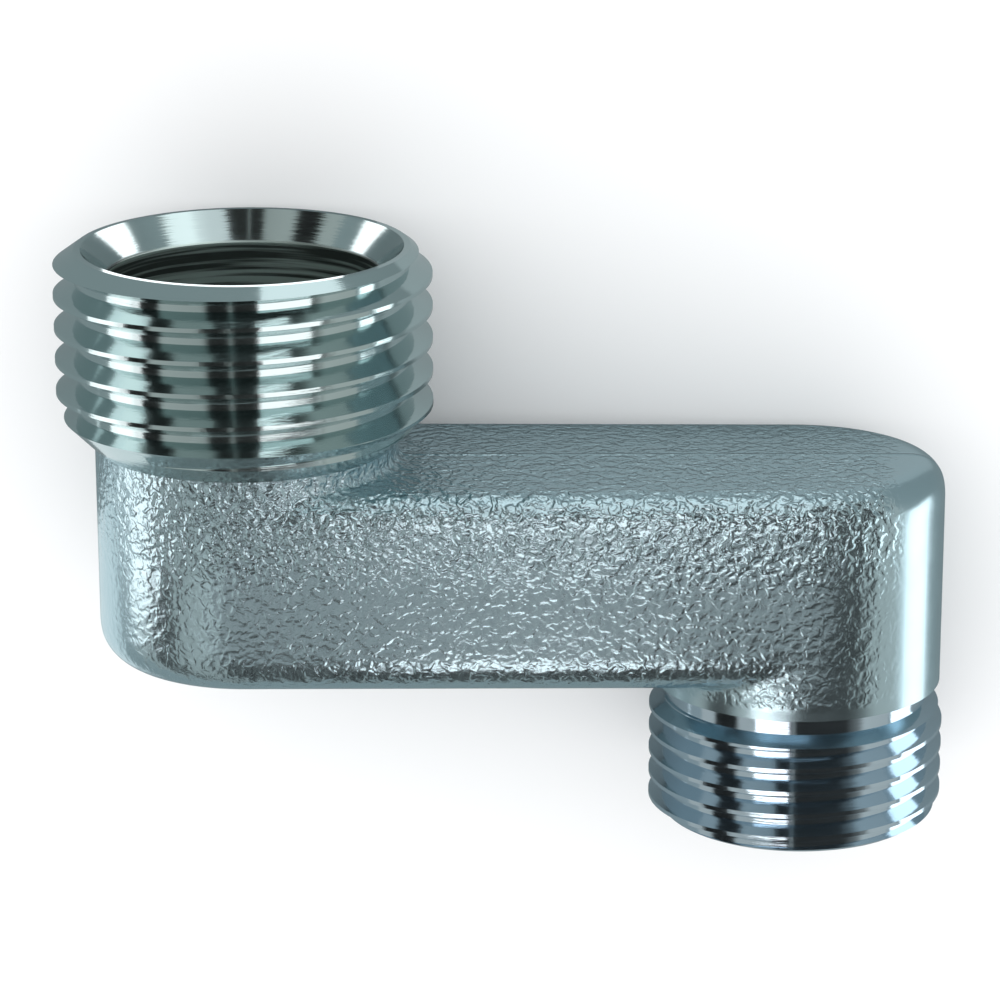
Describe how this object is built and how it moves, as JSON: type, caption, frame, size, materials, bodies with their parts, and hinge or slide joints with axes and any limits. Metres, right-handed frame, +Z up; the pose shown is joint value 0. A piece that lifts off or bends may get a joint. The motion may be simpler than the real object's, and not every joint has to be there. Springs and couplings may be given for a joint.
{
  "type": "eccentric pipe adapter",
  "caption": "Eccentric male to male pipe adapter: a plated brass casting with a large thread at one end and a smaller thread offset to the other side.",
  "frame": {"origin": "on the surface the adapter lies on, under the middle of its box", "axes": "+Y along both thread axes, out of the large end; +X from the large end towards the small end; +Z up from the surface"},
  "size_m": [0.0498, 0.033, 0.021],
  "materials": {
    "plated_brass": "chrome plated, blasted on the casting and bright on the turned ends"
  },
  "bodies": {
    "root": {"adapter_body": "plated_brass"}
  },
  "joints": []
}
